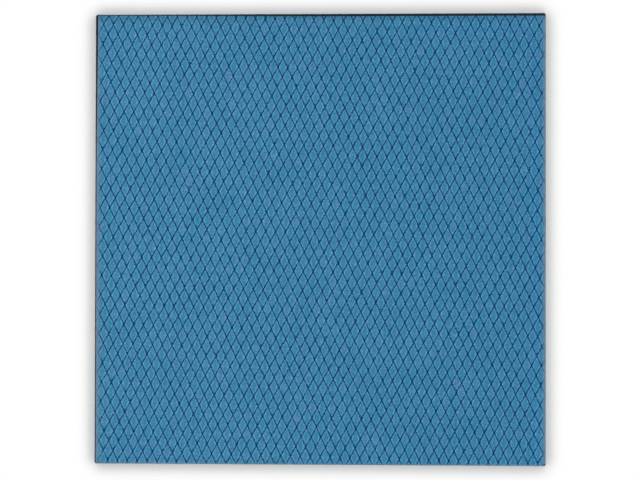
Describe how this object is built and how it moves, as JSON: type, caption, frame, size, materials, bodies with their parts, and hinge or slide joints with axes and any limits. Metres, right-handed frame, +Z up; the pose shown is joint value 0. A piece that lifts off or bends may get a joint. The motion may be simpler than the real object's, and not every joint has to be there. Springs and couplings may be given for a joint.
{
  "type": "thermal pad sheet",
  "caption": "Square sheet of soft blue silicone gap filler with a fine diamond relief, cut to size and laid between a warm chip and its heatsink.",
  "frame": {"origin": "middle of the flat underside", "axes": "+Z up through the sheet's thickness, towards the face with the diamond relief; +X and +Y along its sides, with the diamonds' long diagonals near Y"},
  "size_m": [0.1, 0.1, 0.001],
  "materials": {
    "pad_silicone": "soft filled silicone, satin, embossed with small diamonds"
  },
  "bodies": {
    "root": {"thermal_pad": "pad_silicone"}
  },
  "joints": []
}
